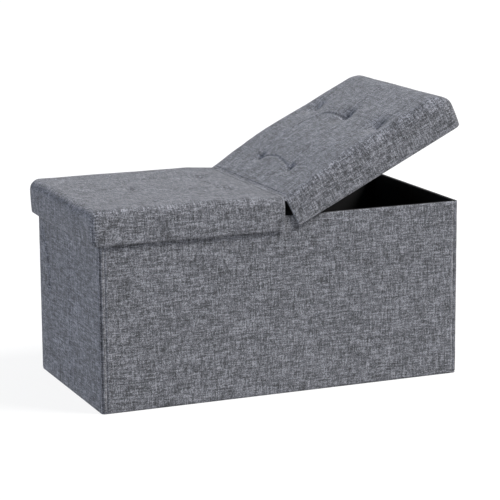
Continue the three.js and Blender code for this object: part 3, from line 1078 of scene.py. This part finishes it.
stitch = {
    "pitch": 4.2 * mm,
    "length": 3.0 * mm,
    "radius": 0.42 * mm,
    "lean": 0.12,  # radians, how unevenly they lie
    "fromCorner": 4.5 * mm,
    "proud": 0.05 * mm,
    "wallInset": 4 * mm,  # from the top and bottom of a wall
    "wallStep": 20 * mm,
    "lidSpread": math.radians(17),  # from the lid's corner seam, each way
    "lidTop": 18 * mm,  # below the fold
    "lidInset": 3 * mm,  # above the hem
    "lidStep": 6 * mm,
    "lidOutside": 0.06,  # where the search for the cloth starts from
    "seed": 7,
}


def makeStitchTree(c):
    # Lays thread stitches end to end along the edges of a line
    tree = bpy.data.node_groups.new("stitchRow", "GeometryNodeTree")
    face = tree.interface
    face.new_socket(name="Line", in_out="INPUT", socket_type="NodeSocketGeometry")
    for name in ("Pitch", "Length", "Radius", "Lean"):
        face.new_socket(name=name, in_out="INPUT", socket_type="NodeSocketFloat")
    face.new_socket(name="Stitches", in_out="OUTPUT", socket_type="NodeSocketGeometry")
    given = tree.nodes.new("NodeGroupInput").outputs
    result = tree.nodes.new("NodeGroupOutput").inputs
    curve = node(tree, "GeometryNodeMeshToCurve", None, Mesh=given["Line"])
    rows = node(tree, "GeometryNodeResampleCurve", {"mode": "LENGTH"}, Curve=curve.outputs[0],
                Length=given["Pitch"])
    bead = node(tree, "GeometryNodeMeshUVSphere", {"Segments": 6, "Rings": 5, "Radius": 1.0})
    half = calc(tree, "MULTIPLY", given["Length"], 0.5)
    size = vector(tree, given["Radius"], given["Radius"], half)
    shaped = node(tree, "GeometryNodeTransform", None, Geometry=bead.outputs[0], Scale=size)
    tangent = node(tree, "GeometryNodeInputTangent")
    facing = node(tree, "FunctionNodeAlignRotationToVector", {"axis": "Z"}, Vector=tangent.outputs[0])
    least = calc(tree, "MULTIPLY", given["Lean"], -1.0)
    uneven = node(tree, "FunctionNodeRandomValue", {"data_type": "FLOAT_VECTOR", "Seed": c["seed"]},
                  i0=vector(tree, least, least), i1=vector(tree, given["Lean"], given["Lean"]))
    laid = node(tree, "GeometryNodeInstanceOnPoints", None, Points=rows.outputs[0],
                Instance=shaped.outputs[0], Rotation=facing.outputs[0])
    turned = node(tree, "GeometryNodeRotateInstances", None, Instances=laid.outputs[0],
                  Rotation=uneven.outputs[0])
    real = node(tree, "GeometryNodeRealizeInstances", None, Geometry=turned.outputs[0])
    sewn = node(tree, "GeometryNodeSetMaterial", {"Material": thread}, Geometry=real.outputs[0])
    tree.links.new(sewn.outputs[0], result[0])
    return tree


def makeStitches(body, rows, tree, c):
    points, edges = [], []
    for row in rows:
        first = len(points)
        points += [tuple(p) for p in row]
        edges += [(k, k + 1) for k in range(first, len(points) - 1)]
    mesh = bpy.data.meshes.new(f"{body}_stitches")
    mesh.from_pydata(points, edges, [])
    obj = addObject(mesh.name, mesh)
    modifier = obj.modifiers.new("stitches", "NODES")
    modifier.node_group = tree
    for item in tree.interface.items_tree:
        if item.in_out == "INPUT" and item.name.lower() in c:
            modifier[item.identifier] = c[item.name.lower()]
    applyModifiers(obj)
    obj.data.polygons.foreach_set("use_smooth", [True] * len(obj.data.polygons))
    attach(obj, body)


def wallRows(line, which, c):  # upright rows near the ends of a wall
    a, b, along, outward = directions(line)
    inset, out = along * c["fromCorner"], outward * c["proud"]
    places = {"start": a + inset + out, "end": b - inset + out}
    heights = stepsBetween(wallTop - c["wallInset"], baseTop + c["wallInset"], c["wallStep"])
    return [[(*places[k], h) for h in heights] for k in which]


def lidRows(side, c):  # beside the upright corner seams of a lid half, found on its cloth
    obj = lidHalves[side]
    surface = BVHTree.FromObject(obj, bpy.context.evaluated_depsgraph_get())
    u, y, far = lid["end"] - lid["planRound"], lid["side"] - lid["planRound"], c["lidOutside"]
    rows = []
    for sign in (-1, 1):
        for turn in (-c["lidSpread"], c["lidSpread"]):
            angle = math.pi / 4 + turn
            row = []
            for w in stepsBetween(-c["lidTop"], -lid["drop"] + c["lidInset"], c["lidStep"]):
                outer = [u + far * math.cos(angle), sign * (y + far * math.sin(angle)), w]
                outer, inner = placed(np.array([outer, [u, sign * y, w]]), side)
                aim = Vector(inner - outer).normalized()
                hit = surface.ray_cast(Vector(outer), aim)[0]
                row.append(hit - aim * c["proud"])
            rows.append(row)
    return rows


stitchTree = makeStitchTree(stitch)
for body, line, which in (
    ("box_front", frontLine, ("start", "end")),
    ("box_back", backLine, ("start", "end")),
    ("left_end_back", leftLine, ("start",)),
    ("left_end_front", leftLine, ("end",)),
    ("right_end_front", rightLine, ("start",)),
    ("right_end_back", rightLine, ("end",)),
):
    makeStitches(body, wallRows(line, which, stitch), stitchTree, stitch)
for side in ("left", "right"):
    makeStitches(f"lid_{side}", lidRows(side, stitch), stitchTree, stitch)
print("seams stitched")

finishes = {"tuft_tie": thread, "band": linenBand, "lining": nonwoven}
for name, obj in frame["nodes"].items():
    if not obj.hide_render:
        found = [finish for part, finish in finishes.items() if part in name]
        obj.data.materials.clear()
        obj.data.materials.append(found[0] if found else fibreboard)  # boards and rails

far = 40.0
floorCorners = [(-far, -far, 0), (far, -far, 0), (far, far, 0), (-far, far, 0)]
floor = makeMesh("floor", floorCorners, [(0, 1, 2, 3)], makeBackdropMaterial(floorLook))
print("finishes set and floor laid")
